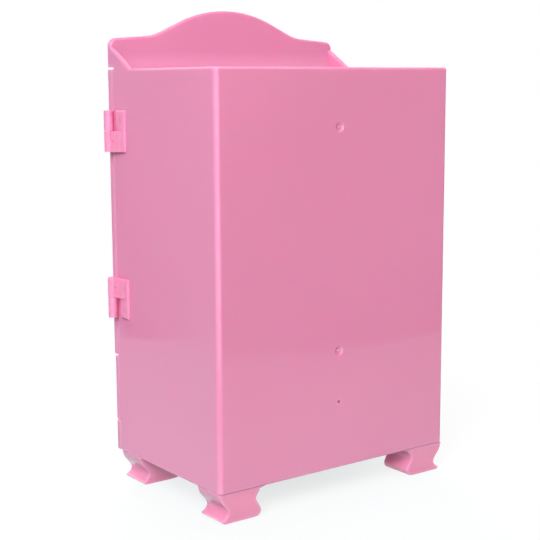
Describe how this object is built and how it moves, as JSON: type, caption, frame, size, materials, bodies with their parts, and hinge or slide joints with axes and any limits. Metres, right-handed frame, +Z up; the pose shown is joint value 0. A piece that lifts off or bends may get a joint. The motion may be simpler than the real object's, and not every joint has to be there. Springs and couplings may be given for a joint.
{
  "type": "miniature wardrobe",
  "caption": "Dolls' wardrobe in glossy pink plastic: hinged double doors over a full-width drawer, a domed crest above and scrolled bracket feet below.",
  "frame": {"origin": "on the floor under the feet, at the centre of the outer box", "axes": "+Z up; the front with the doors and drawer faces -Y; +X is to the right seen from the front"},
  "size_m": [0.1266, 0.086, 0.2002],
  "materials": {
    "cabinet_plastic": "glossy",
    "front_plastic": "glossy",
    "inner_plastic": "glossy",
    "knob_plastic": "glossy",
    "hinge_plastic": "glossy",
    "foot_plastic": "glossy",
    "pin_steel": "drawn wire"
  },
  "bodies": {
    "cabinet": {"carcass": "cabinet_plastic", "plinth": "front_plastic", "shelf": "inner_plastic", "hanging_rail": "inner_plastic", "hinge_leaf_upper_left": "hinge_plastic", "hinge_leaf_upper_right": "hinge_plastic", "hinge_leaf_lower_left": "hinge_plastic", "hinge_leaf_lower_right": "hinge_plastic", "hinge_pin_upper_left": "pin_steel", "hinge_pin_upper_right": "pin_steel", "hinge_pin_lower_left": "pin_steel", "hinge_pin_lower_right": "pin_steel", "foot_front_left": "foot_plastic", "foot_front_right": "foot_plastic", "foot_rear_left": "foot_plastic", "foot_rear_right": "foot_plastic"},
    "left_door": {"door_left": "front_plastic", "door_knob_left": "knob_plastic"},
    "right_door": {"door_right": "front_plastic", "door_knob_right": "knob_plastic"},
    "drawer": {"drawer_front": "front_plastic", "drawer_tray": "inner_plastic", "drawer_knob_left": "knob_plastic", "drawer_knob_right": "knob_plastic"}
  },
  "joints": [
    {"name": "left_door_hinge", "type": "hinge", "parent": "cabinet", "child": "left_door", "pos_m": [-0.0614, -0.03305, 0.1145], "axis": [0, 0, -1], "range_deg": [0, 200]},
    {"name": "right_door_hinge", "type": "hinge", "parent": "cabinet", "child": "right_door", "pos_m": [0.0614, -0.03305, 0.1145], "axis": [0, 0, 1], "range_deg": [0, 200]},
    {"name": "drawer_slide", "type": "slide", "parent": "cabinet", "child": "drawer", "axis": [0, -1, 0], "range_m": [0, 0.0488]}
  ]
}
